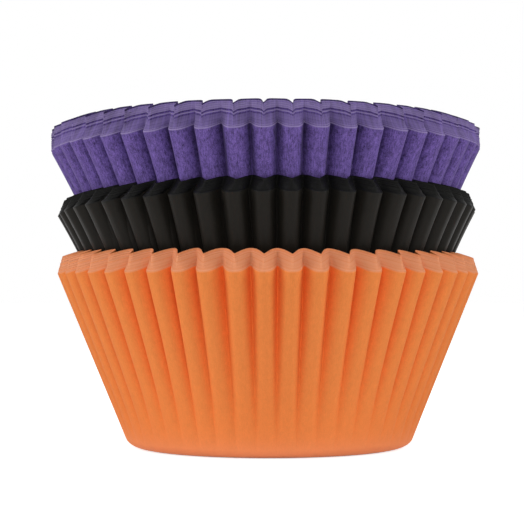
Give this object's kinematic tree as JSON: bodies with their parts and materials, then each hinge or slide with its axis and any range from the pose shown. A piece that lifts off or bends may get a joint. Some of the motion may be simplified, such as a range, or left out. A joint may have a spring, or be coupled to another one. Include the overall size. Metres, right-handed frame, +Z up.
{
  "type": "stack of cupcake liners",
  "caption": "Stack of pleated paper baking cups in three colours, each colour nested tight and pushed into the mouth of the one below; open on top.",
  "frame": {"origin": "centre of the lowest cup's flat base, where the stack stands", "axes": "+Z up through the stack, -Y towards the side that the picture shows"},
  "size_m": [0.078, 0.0781, 0.0602],
  "materials": {
    "orange_paper": "matt greaseproof paper",
    "black_paper": "satin greaseproof paper",
    "purple_paper": "matt greaseproof paper"
  },
  "bodies": {
    "root": {"orange_liner_01": "orange_paper", "orange_liner_02": "orange_paper", "orange_liner_03": "orange_paper", "orange_liner_04": "orange_paper", "orange_liner_05": "orange_paper", "orange_liner_06": "orange_paper", "orange_liner_07": "orange_paper", "orange_liner_08": "orange_paper", "orange_liner_09": "orange_paper", "orange_liner_10": "orange_paper", "orange_liner_11": "orange_paper", "orange_liner_12": "orange_paper", "orange_liner_13": "orange_paper", "orange_liner_14": "orange_paper", "orange_liner_15": "orange_paper", "orange_liner_16": "orange_paper", "orange_liner_17": "orange_paper", "orange_liner_18": "orange_paper", "orange_liner_19": "orange_paper", "orange_liner_20": "orange_paper", "black_liner_01": "black_paper", "black_liner_02": "black_paper", "black_liner_03": "black_paper", "black_liner_04": "black_paper", "black_liner_05": "black_paper", "black_liner_06": "black_paper", "black_liner_07": "black_paper", "black_liner_08": "black_paper", "black_liner_09": "black_paper", "black_liner_10": "black_paper", "black_liner_11": "black_paper", "black_liner_12": "black_paper", "black_liner_13": "black_paper", "black_liner_14": "black_paper", "black_liner_15": "black_paper", "black_liner_16": "black_paper", "purple_liner_01": "purple_paper", "purple_liner_02": "purple_paper", "purple_liner_03": "purple_paper", "purple_liner_04": "purple_paper", "purple_liner_05": "purple_paper", "purple_liner_06": "purple_paper", "purple_liner_07": "purple_paper", "purple_liner_08": "purple_paper", "purple_liner_09": "purple_paper", "purple_liner_10": "purple_paper", "purple_liner_11": "purple_paper", "purple_liner_12": "purple_paper", "purple_liner_13": "purple_paper", "purple_liner_14": "purple_paper", "purple_liner_15": "purple_paper", "purple_liner_16": "purple_paper", "purple_liner_17": "purple_paper", "purple_liner_18": "purple_paper", "purple_liner_19": "purple_paper", "purple_liner_20": "purple_paper", "purple_liner_21": "purple_paper", "purple_liner_22": "purple_paper", "purple_liner_23": "purple_paper", "purple_liner_24": "purple_paper"}
  },
  "joints": []
}
